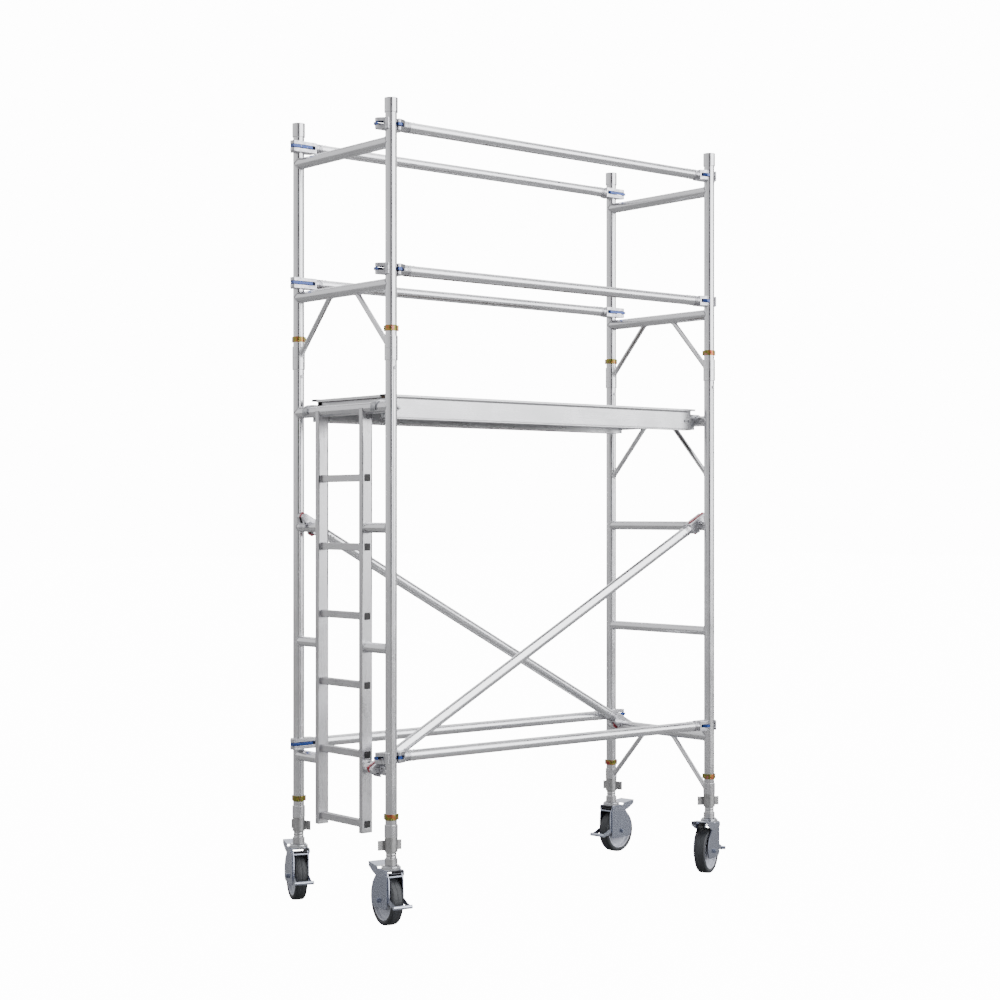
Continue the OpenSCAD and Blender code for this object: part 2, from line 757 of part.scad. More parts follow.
module castor_fork(k) color([0.72, 0.74, 0.78]) castor_frame(k) {
    plate_t = 5;
    half = fork_half + fork_t;
    translate([fork_front, -half, fork_top_z - plate_t]) cube([trail - fork_front, 2 * half, plate_t]);
    translate([0, 0, fork_top_z]) cylinder(d = race_d, h = race_h - 6);
    translate([0, 0, fork_top_z]) cylinder(d = race_d - 12, h = race_h);
    for (side = [-1, 1]) plate(side * (fork_half + fork_t / 2) - fork_t / 2,
        side * (fork_half + fork_t / 2) + fork_t / 2) fork_side();
    translate([0, 0, fork_top_z - 4]) cylinder(d = king_pin_d, h = race_h + leg_base_h + 20);
    translate([0, 0, leg_low + leg_base_h + 0.5]) cylinder(d = king_nut_d, h = 10, $fn = 6);
    translate([trail, 0, axle_z]) rotate([90, 0, 0]) {
        cylinder(d = axle_d, h = 2 * half + 24, center = true);
        for (side = [-1, 1]) translate([0, 0, side * (half + 5)])
            cylinder(d = 22, h = 10, center = true, $fn = 6);
    }
    translate([brake_pin[0], 0, brake_pin[1]]) rotate([90, 0, 0])
        cylinder(d = brake_pin_d, h = 2 * (half + skirt_gap + skirt_t + 2), center = true);
}

// Half of the wheel core's section: hub, thin web and rim
module core_section() {
    hub_r = 24;
    hub_half = fork_half - 0.5;
    rim_half = tyre_w / 2 - 3;
    rim_in = core_d / 2 - 9;
    bore_r = axle_d / 2 + run_gap;
    polygon([[bore_r, -hub_half], [hub_r - 6, -hub_half], [hub_r, -12], [rim_in, -8],
        [rim_in + 3, -rim_half],
        [core_d / 2, -rim_half], [core_d / 2, rim_half], [rim_in + 3, rim_half], [rim_in, 8], [hub_r, 12],
        [hub_r - 6, hub_half], [bore_r, hub_half]]);
}

module wheel_core(k) color("lightgray") castor_frame(k) translate([trail, 0, axle_z])
    rotate([90, 0, 0]) rotate_extrude($fn = 96) core_section();

// The tyre's section: a flat tread with round shoulders
module tyre_section() {
    half = tyre_w / 2;
    shoulder = 7;
    translate([core_d / 2, -half + 1]) square([wheel_r - shoulder - core_d / 2, tyre_w - 2]);
    translate([wheel_r - shoulder - 1, -half + shoulder]) square([shoulder + 1, tyre_w - 2 * shoulder]);
    for (side = [-1, 1]) translate([wheel_r - shoulder, side * (half - shoulder)]) circle(r = shoulder);
}

module tyre(k) color([0.27, 0.29, 0.31]) castor_frame(k) translate([trail, 0, axle_z])
    rotate([90, 0, 0]) rotate_extrude($fn = 96) tyre_section();

// A sloping tread plate on two skirts that straddle the fork and hang on the brake pin
module brake_pedal(k) color([0.72, 0.74, 0.78]) castor_frame(k) {
    inner = fork_half + fork_t + skirt_gap;
    tip_z = fork_top_z + 17;
    pin_x = brake_pin[0];
    for (side = [-1, 1]) plate(side * (inner + skirt_t / 2) - skirt_t / 2,
        side * (inner + skirt_t / 2) + skirt_t / 2) difference() {
            polygon([[pin_x - 9, brake_pin[1] - 8], [pin_x + 8, brake_pin[1] - 10],
                [trail + 8, fork_top_z - 36], [trail + 50, fork_top_z - 24],
                [pedal_reach - 3, tip_z - 20], [pedal_reach, tip_z],
                [trail + 12, fork_top_z + 9], [trail + 4, fork_top_z - 1], [pin_x - 9, fork_top_z - 4]]);
            translate(brake_pin) circle(r = brake_pin_d / 2 + run_gap);
        }
    plate(-inner, inner) polygon([[trail + 12, fork_top_z + 9], [pedal_reach, tip_z],
        [pedal_reach - 1, tip_z - 3], [trail + 13, fork_top_z + 6]]);
}

// A cross bar on two arms that hang from the brake pin inside the fork
module release_bar(k) color([0.78, 0.79, 0.82]) castor_frame(k) {
    outer = fork_half - 0.8;
    arm_y = outer - arm_t / 2;
    bar_z = axle_z - 8;
    for (side = [-1, 1]) plate(side * arm_y - arm_t / 2, side * arm_y + arm_t / 2)
        difference() {
            union() {
                translate(brake_pin) circle(r = 7);
                polygon([[brake_pin[0] - 7, brake_pin[1]], [fork_front - 10, brake_pin[1] - 23],
                    [fork_front - 13, axle_z + 20], [-release_reach + 22, bar_z + 13],
                    [-release_reach, bar_z + 8], [-release_reach, bar_z - 8],
                    [-release_reach + 30, bar_z - 6], [fork_front + 4, axle_z],
                    [brake_pin[0] + 5, axle_z + 60], [brake_pin[0] + 7, brake_pin[1]]]);
            }
            translate(brake_pin) circle(r = brake_pin_d / 2 + run_gap);
        }
    translate([fork_front - 2, -outer, brake_pin[1] - 14]) cube([3, 2 * outer, 7]);
    translate([-release_reach, 0, bar_z]) rotate([90, 0, 0])
        cylinder(d = 17, h = 2 * (fork_half + fork_t + 4), center = true);
}

ladder_frame();
ladder_stiles();
ladder_rungs();
rung_plugs();
plain_frame();
guard_frames();
frame_spigots();
horizontal_rails();
diagonal_braces();
claws();
claw_rivets();
interlock_clips();
deck_beams();
deck_panel();
deck_hooks();
trapdoor();
leg(fl);  // leg_fl
leg(bl);  // leg_bl
leg(fr);  // leg_fr
leg(br);  // leg_br
adjusting_nut(fl);  // adjusting_nut_fl
adjusting_nut(bl);  // adjusting_nut_bl
adjusting_nut(fr);  // adjusting_nut_fr
adjusting_nut(br);  // adjusting_nut_br
castor_fork(fl);  // castor_fork_fl
castor_fork(bl);  // castor_fork_bl
castor_fork(fr);  // castor_fork_fr
castor_fork(br);  // castor_fork_br
wheel_core(fl);  // wheel_core_fl
wheel_core(bl);  // wheel_core_bl
wheel_core(fr);  // wheel_core_fr
wheel_core(br);  // wheel_core_br
tyre(fl);  // tyre_fl
tyre(bl);  // tyre_bl
tyre(fr);  // tyre_fr
tyre(br);  // tyre_br
brake_pedal(fl);  // brake_pedal_fl
brake_pedal(bl);  // brake_pedal_bl
brake_pedal(fr);  // brake_pedal_fr
brake_pedal(br);  // brake_pedal_br
release_bar(fl);  // release_bar_fl
release_bar(bl);  // release_bar_bl
release_bar(fr);  // release_bar_fr
release_bar(br);  // release_bar_br
rail_trigger(fl, 0);  // base_trigger_fl
rail_trigger(bl, 0);  // base_trigger_bl
rail_trigger(fr, 0);  // base_trigger_fr
rail_trigger(br, 0);  // base_trigger_br
rail_trigger(fl, 1);  // mid_trigger_fl
rail_trigger(bl, 1);  // mid_trigger_bl
rail_trigger(fr, 1);  // mid_trigger_fr
rail_trigger(br, 1);  // mid_trigger_br
rail_trigger(fl, 2);  // top_trigger_fl
rail_trigger(bl, 2);  // top_trigger_bl
rail_trigger(fr, 2);  // top_trigger_fr
rail_trigger(br, 2);  // top_trigger_br
brace_trigger(fl);  // brace_trigger_fl
brace_trigger(bl);  // brace_trigger_bl
brace_trigger(fr);  // brace_trigger_fr
brace_trigger(br);  // brace_trigger_br
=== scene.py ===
import json

import bmesh
import bpy
import numpy as np
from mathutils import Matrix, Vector


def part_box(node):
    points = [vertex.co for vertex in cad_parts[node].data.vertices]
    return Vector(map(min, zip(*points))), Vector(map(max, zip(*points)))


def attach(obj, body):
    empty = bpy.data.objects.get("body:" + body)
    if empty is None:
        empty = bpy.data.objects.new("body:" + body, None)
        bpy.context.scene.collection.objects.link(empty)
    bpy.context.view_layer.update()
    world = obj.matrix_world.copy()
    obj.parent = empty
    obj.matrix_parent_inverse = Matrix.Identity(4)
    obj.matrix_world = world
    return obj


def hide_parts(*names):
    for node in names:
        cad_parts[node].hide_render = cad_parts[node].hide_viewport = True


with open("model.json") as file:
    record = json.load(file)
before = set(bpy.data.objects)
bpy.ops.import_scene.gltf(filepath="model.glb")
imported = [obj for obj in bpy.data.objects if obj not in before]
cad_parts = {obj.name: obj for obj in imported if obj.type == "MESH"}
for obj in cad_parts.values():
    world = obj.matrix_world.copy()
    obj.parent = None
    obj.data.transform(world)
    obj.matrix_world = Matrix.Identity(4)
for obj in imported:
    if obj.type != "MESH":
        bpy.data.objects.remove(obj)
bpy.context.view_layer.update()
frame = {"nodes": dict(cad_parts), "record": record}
corners = ("fl", "bl", "fr", "br")
joints = {joint["name"]: joint for joint in frame["record"]["behaviour"]["joints"]}
body_of_node = {node: body for body, nodes in frame["record"]["behaviour"]["bodies"].items() for node in nodes}

# ---- Ladder frame and plain frame ----
# The two lower frames: drawn aluminium posts with swaged collars, and cross tubes and knee
# braces coped to fit them. Each tube keeps the fine lines of the die along its length.


def drawn_lines_group():
    """Tone, roughness and height of drawn tube: long lines along the tube from noise squeezed
    across it, over broad cloudy patches where the metal was handled."""
    group = bpy.data.node_groups.new("drawn_lines", "ShaderNodeTree")
    face = group.interface
    for name, default in (("Grain", None), ("Position", None), ("Roughness", 0.3), ("Spread", 0.1)):
        kind = "NodeSocketVector" if default is None else "NodeSocketFloat"
        socket = face.new_socket(name, in_out="INPUT", socket_type=kind)
        if default is not None:
            socket.default_value = default
    for name in ("Tone", "Roughness", "Height"):
        face.new_socket(name, in_out="OUTPUT", socket_type="NodeSocketFloat")
    nodes, link = group.nodes, group.links.new
    given, out = nodes.new("NodeGroupInput"), nodes.new("NodeGroupOutput")
    lines, clouds, rubs = (nodes.new("ShaderNodeTexNoise") for _ in range(3))
    for noise, scale, detail in ((lines, 900.0, 3.0), (clouds, 7.0, 4.0), (rubs, 60.0, 6.0)):
        noise.inputs["Scale"].default_value = scale
        noise.inputs["Detail"].default_value = detail
        link(given.outputs["Grain" if noise is lines else "Position"], noise.inputs["Vector"])
    rubs.inputs["Roughness"].default_value = 0.7

    def span(source, low, high, low_in=0.3, high_in=0.7):
        node = nodes.new("ShaderNodeMapRange")
        for socket, value in (("From Min", low_in), ("From Max", high_in), ("To Min", low), ("To Max", high)):
            node.inputs[socket].default_value = value
        link(source, node.inputs["Value"])
        return node.outputs["Result"]

    def sum_of(a, b, operation="ADD"):
        node = nodes.new("ShaderNodeMath")
        node.operation = operation
        link(a, node.inputs[0])
        link(b, node.inputs[1])
        return node.outputs["Value"]

    fine, broad = span(lines.outputs["Fac"], -0.5, 0.5), span(clouds.outputs["Fac"], -0.5, 0.5)
    rubbed = span(rubs.outputs["Fac"], 0.0, 1.0, 0.55, 0.75)
    link(sum_of(span(lines.outputs["Fac"], 0.35, 0.6), span(clouds.outputs["Fac"], 0.1, 0.4)), out.inputs["Tone"])
    change = sum_of(sum_of(sum_of(fine, broad), rubbed), given.outputs["Spread"], "MULTIPLY")
    link(sum_of(given.outputs["Roughness"], change), out.inputs["Roughness"])
    link(lines.outputs["Fac"], out.inputs["Height"])
    return group


drawn_lines = drawn_lines_group()


def shader_of(name):
    """A new material with its nodes, its link function and its Principled shader."""
    material = bpy.data.materials.new(name)
    material.use_nodes = True
    tree = material.node_tree
    return material, tree.nodes, tree.links.new, tree.nodes["Principled BSDF"]


def drawn_metal(name, dark, light, squeeze, roughness=0.22, spread=0.1, depth=0.00002, turn=(0, 0, 0)):
    """Bare metal drawn along one direction. squeeze scales the pattern: small along the tube."""
    material, nodes, link, shader = shader_of(name)
    place, grain = nodes.new("ShaderNodeTexCoord"), nodes.new("ShaderNodeMapping")
    grain.inputs["Scale"].default_value = squeeze
    grain.inputs["Rotation"].default_value = turn
    link(place.outputs["Object"], grain.inputs["Vector"])
    lines = nodes.new("ShaderNodeGroup")
    lines.node_tree = drawn_lines
    lines.inputs["Roughness"].default_value = roughness
    lines.inputs["Spread"].default_value = spread
    link(grain.outputs["Vector"], lines.inputs["Grain"])
    link(place.outputs["Object"], lines.inputs["Position"])
    tones, bump = nodes.new("ShaderNodeMix"), nodes.new("ShaderNodeBump")
    tones.data_type = "RGBA"
    tones.inputs["A"].default_value = (*dark, 1)
    tones.inputs["B"].default_value = (*light, 1)
    link(lines.outputs["Tone"], tones.inputs["Factor"])
    link(tones.outputs["Result"], shader.inputs["Base Color"])
    link(lines.outputs["Roughness"], shader.inputs["Roughness"])
    bump.inputs["Distance"].default_value = depth
    bump.inputs["Strength"].default_value = 0.6
    link(lines.outputs["Height"], bump.inputs["Height"])
    link(bump.outputs["Normal"], shader.inputs["Normal"])
    shader.inputs["Metallic"].default_value = 1.0
    return material


post_dark, post_light = (0.62, 0.62, 0.64), (0.82, 0.82, 0.84)
drawn_along = {"x": (0.01, 1, 1), "y": (1, 0.01, 1), "z": (1, 1, 0.01)}
tube_metal = {
    axis: drawn_metal(f"drawn_tube_{axis}", post_dark, post_light, squeeze)
    for axis, squeeze in drawn_along.items()
}


def joined_mesh(node):
    """The node's surface with its loose triangles joined and pairs made rectangles again. The
    stored normals are dropped first, because they no longer fit once faces are joined."""
    mesh = frame["nodes"][node].data.copy()
    if "custom_normal" in mesh.attributes:
        mesh.attributes.remove(mesh.attributes["custom_normal"])
    work = bmesh.new()
    work.from_mesh(mesh)
    bmesh.ops.remove_doubles(work, verts=work.verts, dist=0.00001)
    bmesh.ops.join_triangles(work, faces=work.faces, angle_face_threshold=0.01, angle_shape_threshold=0.3)
    for face in work.faces:
        face.smooth = True
    work.to_mesh(mesh)
    work.free()
    mesh.set_sharp_from_angle(angle=0.55)
    return mesh


def solids_in(mesh):
    """The box of each loose solid as (low, high) rows, and each face's solid, by spreading the
    lowest point number along the edges until nothing changes."""
    points = np.empty(len(mesh.vertices) * 3)
    mesh.vertices.foreach_get("co", points)
    points = points.reshape(-1, 3)
    ends = np.empty(len(mesh.edges) * 2, dtype=np.int64)
    mesh.edges.foreach_get("vertices", ends)
    ends = ends.reshape(-1, 2)
    label = np.arange(len(points))
    while True:
        low = np.minimum(label[ends[:, 0]], label[ends[:, 1]])
        fresh = label.copy()
        np.minimum.at(fresh, ends[:, 0], low)
        np.minimum.at(fresh, ends[:, 1], low)
        fresh = fresh[fresh]
        if (fresh == label).all():
            break
        label = fresh
    roots, label = np.unique(label, return_inverse=True)
    low = np.full((len(roots), 3), 9e9)
    high = -low
    np.minimum.at(low, label, points)
    np.maximum.at(high, label, points)
    first = np.empty(len(mesh.polygons), dtype=np.int64)
    mesh.polygons.foreach_get("loop_start", first)
    corner = np.empty(len(mesh.loops), dtype=np.int64)
    mesh.loops.foreach_get("vertex_index", corner)
    return low, high, label[corner[first]]


def finished_piece(name, node, metals, edge=0.0006, rounds=2, corner_angle=0.55, thin_plate=False):
    """The node's solids with broken edges, in the metal of each solid's longest direction."""
    mesh = joined_mesh(node)
    mesh.name = name
    mesh.materials.clear()
    listed = [metals[axis] for axis in "xyz"] if isinstance(metals, dict) else [metals]
    for metal in listed:
        mesh.materials.append(metal)
    if isinstance(metals, dict):
        low, high, solid = solids_in(mesh)
        mesh.polygons.foreach_set("material_index", np.argmax(high - low, axis=1)[solid].astype(np.int32))
    else:
        mesh.polygons.foreach_set("material_index", np.zeros(len(mesh.polygons), dtype=np.int32))
    piece = bpy.data.objects.new(name, mesh)
    bpy.context.scene.collection.objects.link(piece)
    if edge:
        bevel = piece.modifiers.new("broken_edges", "BEVEL")
        bevel.width = edge
        bevel.segments = rounds
        bevel.limit_method = "ANGLE"
        bevel.angle_limit = corner_angle
        bevel.harden_normals = True
        bevel.use_clamp_overlap = thin_plate
        bevel.miter_outer = "MITER_ARC"
    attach(piece, body_of_node[node])
    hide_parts(node)
    return piece


finished_piece("ladder_end_frame", "ladder_frame", tube_metal, edge=0.0008)
finished_piece("plain_end_frame", "plain_frame", tube_metal, edge=0.0008)

# ---- Guard frames ----
# The two upper frames, of the same tube. A swaged collar with an open socket at each post's
# top takes the next frame, and one at its foot drops over the spigot below.
finished_piece("upper_guard_frames", "guard_frames", tube_metal, edge=0.0008)
# The spigots and their rivets get a far darker metal than the posts. This is painted shade, so that each rivet reads as
# dark as its shadow.
spigot_painted_shade_metal = {
    axis: drawn_metal(f"spigot_{axis}", (0.26, 0.26, 0.27), (0.40, 0.40, 0.42), (1, 1, 0.01)) for axis in "xyz"
}
finished_piece("joint_spigots", "frame_spigots", spigot_painted_shade_metal, edge=0.0012, rounds=3)

# ---- Welds ----
# A bead of weld runs round the end of every cross tube and knee brace where it meets a post
# or a cross tube. Each is laid in short steps that leave ripples.
weld_metal = drawn_metal("weld_bead", (0.52, 0.52, 0.54), (0.74, 0.74, 0.76), (1, 1, 1), 0.42, 0.2, 0.0002)


def tube_mesh(points, sides, radius):
    """A closed ring of round section: at path point i, centre + radius_i (across cos b + up sin b)."""
    count = len(points)
    along = np.roll(points, -1, axis=0) - np.roll(points, 1, axis=0)
    along /= np.linalg.norm(along, axis=1, keepdims=True)
    inward = points.mean(axis=0) - points
    up = np.cross(along, inward)
    up /= np.linalg.norm(up, axis=1, keepdims=True)
    across = np.cross(up, along)
    turn = np.linspace(0, 2 * np.pi, sides, endpoint=False)
    ring = across[:, None] * np.cos(turn)[None, :, None] + up[:, None] * np.sin(turn)[None, :, None]
    verts = points[:, None] + ring * np.broadcast_to(radius, count)[:, None, None]
    i, j = np.meshgrid(np.arange(count), np.arange(sides), indexing="ij")
    near, far = (j + 1) % sides, (i + 1) % count
    faces = np.stack([i * sides + j, far * sides + j, far * sides + near, i * sides + near], axis=-1)
    return verts.reshape(-1, 3), faces.reshape(-1, 4)


def coped_end(start, direction, tube_r, line_point, line_dir, other_r):
    """Where a tube's skin meets another: each skin line p + t d is cut where its distance from
    the other tube's axis equals that tube's radius, at the smaller t."""
    direction, line_dir = (np.array(v) / np.linalg.norm(v) for v in (direction, line_dir))
    side = np.cross(direction, line_dir)
    side /= np.linalg.norm(side)
    up = np.cross(side, direction)
    turn = np.linspace(0, 2 * np.pi, 120, endpoint=False)[:, None]
    skin = np.array(start) + tube_r * (np.cos(turn) * side + np.sin(turn) * up)
    flat = lambda v: v - (v @ line_dir)[..., None] * line_dir
    away, step = flat(skin - np.array(line_point)), flat(direction[None, :])[0]
    a, b, c = step @ step, away @ step, (away**2).sum(axis=1) - other_r**2
    t = (-b - np.sqrt(np.maximum(b * b - a * c, 0))) / a
    return skin + t[:, None] * direction


def mesh_piece(name, parts, metal, body, smooth=True):
    """One object from a list of (points, faces) parts, with its faces turned outwards."""
    start, verts, faces = 0, [], []
    for points, quads in parts:
        verts.append(points)
        faces.append(np.asarray(quads) + start)
        start += len(points)
    mesh = bpy.data.meshes.new(name)
    mesh.from_pydata(np.concatenate(verts).tolist(), [], np.concatenate(faces).tolist())
    work = bmesh.new()
    work.from_mesh(mesh)
    bmesh.ops.recalc_face_normals(work, faces=work.faces)
    work.to_mesh(mesh)
    work.free()
    mesh.polygons.foreach_set("use_smooth", np.full(len(mesh.polygons), smooth))
    mesh.materials.append(metal)
    piece = bpy.data.objects.new(name, mesh)
    bpy.context.scene.collection.objects.link(piece)
    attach(piece, body)
    return piece


def bead(path):
    """A weld bead 4.4 mm across whose radius swells by a tenth at each of its ripples."""
    ripple = 1 + 0.1 * np.sin(np.arange(len(path)) * 2 * np.pi / 6)
    return tube_mesh(path, 8, 0.0022 * ripple)


post_r, collar_r, knee_r, bead_proud = 0.0254, 0.0290, 0.012, 0.0008
post_least, round_within, same_end_within = 1.0, 0.0005, 0.01
knee_run, knee_drop = 0.265, 0.282
for node in ("ladder_frame", "plain_frame", "guard_frames"):
    low, high, _ = solids_in(joined_mesh(node))
    size, middle = high - low, (low + high) / 2
    posts = middle[size[:, 2] > post_least]
    beads = []
    for k in range(len(low)):
        if size[k, 2] > post_least:
            continue
        if abs(size[k, 0] - size[k, 2]) < round_within:
            for end, sign in ((low[k, 1], 1), (high[k, 1], -1)):
                centre = middle[k]
                near = np.abs(posts[:, 1] - end) < 0.06
                if near.any():
                    post = posts[near & (np.abs(posts[:, 0] - centre[0]) < same_end_within)][0]
                    skin_r, other_r = size[k, 0] / 2 + bead_proud, post_r + bead_proud
                    beads.append(bead(coped_end(centre, (0, -sign, 0), skin_r, post, (0, 0, 1), other_r)))
                else:
                    turn = np.linspace(0, 2 * np.pi, 120, endpoint=False)
                    ring, across = size[k, 0] / 2 + bead_proud, 0 * turn + end + sign * bead_proud
                    loop = [centre[0] + ring * np.cos(turn), across, centre[2] + ring * np.sin(turn)]
                    beads.append(bead(np.stack(loop, axis=1)))
        else:
            middle_y = posts[:, 1].mean()
            side = np.sign(middle[k, 1] - middle_y)
            same_end = np.abs(posts[:, 0] - middle[k, 0]) < same_end_within
            post = posts[same_end & (np.sign(posts[:, 1] - middle_y) == side)][0]
            lean = np.array([0, -side * knee_run, knee_drop])
            round_tube = np.abs(size[:, 0] - size[:, 2]) < round_within
            crossing = round_tube & (np.abs(middle[:, 0] - middle[k, 0]) < same_end_within)
            tubes, tube_radius = middle[crossing], size[crossing, 0] / 2
            over = np.argmin(np.abs(tubes[:, 2] - high[k, 2]))
            foot = np.array([post[0], post[1], tubes[over, 2] - knee_drop])
            start = foot + lean * 0.5
            swaged = np.abs(foot[2] + 0.03 - low[size[:, 2] > post_least, 2]).min() < 0.06
            foot_r = (collar_r if swaged else post_r) + bead_proud
            head_r = tube_radius[over] + bead_proud
            beads.append(bead(coped_end(start, -lean, knee_r + bead_proud, post, (0, 0, 1), foot_r)))
            beads.append(bead(coped_end(start, lean, knee_r + bead_proud, tubes[over], (0, 1, 0), head_r)))
    mesh_piece(f"welds_{node}", beads, weld_metal, "tower")

# ---- Ladder ----
# Two flat oval-cornered stiles hold square rungs that pass right through them. A black plastic
# plug closes each rung's end, and ribs along the rung's top grip the sole.
ladder_metal = {
    axis: drawn_metal(f"ladder_{axis}", (0.48, 0.48, 0.49), (0.62, 0.62, 0.64), squeeze, 0.3, 0.12)
    for axis, squeeze in drawn_along.items()
}
finished_piece("ladder_side_stiles", "ladder_stiles", ladder_metal, edge=0.002, rounds=3)
finished_piece("ladder_cross_rungs", "ladder_rungs", ladder_metal, edge=0.0012)


def bar_mesh(profile, start, end, across, up):
    """A profile of (across, up) points carried straight from start to end, with closed ends."""
    profile, start, end = np.array(profile), np.array(start), np.array(end)
    ring = profile[:, :1] * np.array(across) + profile[:, 1:] * np.array(up)
    verts = np.concatenate([start + ring, end + ring])
    n = len(profile)
    i = np.arange(n)
    sides = np.stack([i, (i + 1) % n, (i + 1) % n + n, i + n], axis=1)
    caps = [(0, k, k + 1, k + 1) for k in range(1, n - 1)] + [(n, n + k + 1, n + k, n + k) for k in range(1, n - 1)]
    return verts, sides, np.array(caps)[:, :3]


def bars_piece(name, bars, metal, body):
    """One object from straight bars, each given as bar_mesh's three arrays."""
    mesh, start, verts, faces = bpy.data.meshes.new(name), 0, [], []
    for points, sides, caps in bars:
        verts += points.tolist()
        faces += (sides + start).tolist() + (caps + start).tolist()
        start += len(points)
    mesh.from_pydata(verts, [], faces)
    work = bmesh.new()
    work.from_mesh(mesh)
    bmesh.ops.recalc_face_normals(work, faces=work.faces)
    work.to_mesh(mesh)
    work.free()
    mesh.materials.append(metal)
    piece = bpy.data.objects.new(name, mesh)
    bpy.context.scene.collection.objects.link(piece)
    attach(piece, body)
    return piece


rung_low, rung_high, _ = solids_in(joined_mesh("ladder_rungs"))
stile_low, stile_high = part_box("ladder_stiles")
rib = [(-0.0008, -0.0002), (0.0008, -0.0002), (0.0005, 0.0009), (-0.0005, 0.0009)]
ribs = []
for low, high in zip(rung_low, rung_high):
    for offset in np.linspace(-0.0115, 0.0115, 7):
        x = (low[0] + high[0]) / 2 + offset
        for z, up in ((high[2], 1), (low[2], -1)):
            ribs.append(bar_mesh(rib, (x, stile_low.y + 0.025, z), (x, stile_high.y - 0.025, z), (1, 0, 0), (0, 0, up)))
bars_piece("rung_grip_ribs", ribs, ladder_metal["y"], "tower")


def moulded_plastic(name, colour, light, roughness, bump_scale, depth, coat=0.0):
    """Moulded plastic or rubber: fine pitted skin, with slow changes of tone and gloss."""
    material, nodes, link, shader = shader_of(name)
    place, pits, clouds = (nodes.new(f"ShaderNode{kind}") for kind in ("TexCoord", "TexNoise", "TexNoise"))
    pits.inputs["Scale"].default_value, pits.inputs["Detail"].default_value = bump_scale, 4.0
    clouds.inputs["Scale"].default_value, clouds.inputs["Detail"].default_value = 22.0, 5.0
    for noise in (pits, clouds):
        link(place.outputs["Object"], noise.inputs["Vector"])
    tones, gloss, bump = (nodes.new(kind) for kind in ("ShaderNodeMix", "ShaderNodeMapRange", "ShaderNodeBump"))
    tones.data_type = "RGBA"
    tones.inputs["A"].default_value = (*colour, 1)
    tones.inputs["B"].default_value = (*light, 1)
    link(clouds.outputs["Fac"], tones.inputs["Factor"])
    link(tones.outputs["Result"], shader.inputs["Base Color"])
    gloss.inputs["To Min"].default_value = roughness - 0.08
    gloss.inputs["To Max"].default_value = roughness + 0.1
    link(clouds.outputs["Fac"], gloss.inputs["Value"])
    link(gloss.outputs["Result"], shader.inputs["Roughness"])
    bump.inputs["Distance"].default_value = depth
    bump.inputs["Strength"].default_value = 0.5
    link(pits.outputs["Fac"], bump.inputs["Height"])
    link(bump.outputs["Normal"], shader.inputs["Normal"])
    shader.inputs["Coat Weight"].default_value = coat
    return material


plug_plastic = moulded_plastic("plug_plastic", (0.012, 0.012, 0.013), (0.025, 0.025, 0.027), 0.42, 900, 0.0001)
finished_piece("rung_end_plugs", "rung_plugs", plug_plastic, edge=0.0008)

# ---- Rails and diagonal braces ----
# Plain drawn tubes of the same alloy, a little brighter, pressed over the necks of the cast
# claws at their ends. The diagonals take the racking load between the two frames.
rail_metal = drawn_metal("rail_tube", (0.74, 0.745, 0.77), (0.90, 0.905, 0.93), (0.01, 1, 1), 0.27, 0.08)
finished_piece("guard_and_base_rails", "horizontal_rails", rail_metal, edge=0.0005)
brace_low, brace_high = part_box("diagonal_braces")
lean = float(np.arctan2(brace_high.z - brace_low.z, brace_high.x - brace_low.x))
brace_metal = drawn_metal(
    "brace_tube", (0.74, 0.745, 0.77), (0.90, 0.905, 0.93), (0.03, 1, 0.05), 0.27, 0.08, turn=(0, lean, 0)
)
finished_piece("diagonal_brace_tubes", "diagonal_braces", brace_metal, edge=0.0005)

# ---- Claws ----
# Each end of a rail is an aluminium casting: an open jaw round the post or tube, a slotted
# body for the trigger, and a ribbed neck inside the tube, held by domed rivets.


def cast_skin_group():
    """Tone and height of a casting: close sandy grain from fine noise, over soft lumps."""
    group = bpy.data.node_groups.new("cast_skin", "ShaderNodeTree")
    face = group.interface
    face.new_socket("Position", in_out="INPUT", socket_type="NodeSocketVector")
    grain_size = face.new_socket("Grain", in_out="INPUT", socket_type="NodeSocketFloat")
    grain_size.default_value = 700.0
    for name in ("Tone", "Height"):
        face.new_socket(name, in_out="OUTPUT", socket_type="NodeSocketFloat")
    nodes, link = group.nodes, group.links.new
    given, out = nodes.new("NodeGroupInput"), nodes.new("NodeGroupOutput")
    sand, lumps, both = (nodes.new(kind) for kind in ("ShaderNodeTexNoise", "ShaderNodeTexNoise", "ShaderNodeMath"))
    lumps.inputs["Scale"].default_value = 70.0
    lumps.inputs["Detail"].default_value = 5.0
    link(given.outputs["Grain"], sand.inputs["Scale"])
    for noise in (sand, lumps):
        link(given.outputs["Position"], noise.inputs["Vector"])
    both.operation = "MULTIPLY_ADD"
    both.inputs[1].default_value = 0.6
    link(sand.outputs["Fac"], both.inputs[0])
    link(lumps.outputs["Fac"], both.inputs[2])
    link(lumps.outputs["Fac"], out.inputs["Tone"])
    link(both.outputs["Value"], out.inputs["Height"])
    return group


cast_skin = cast_skin_group()


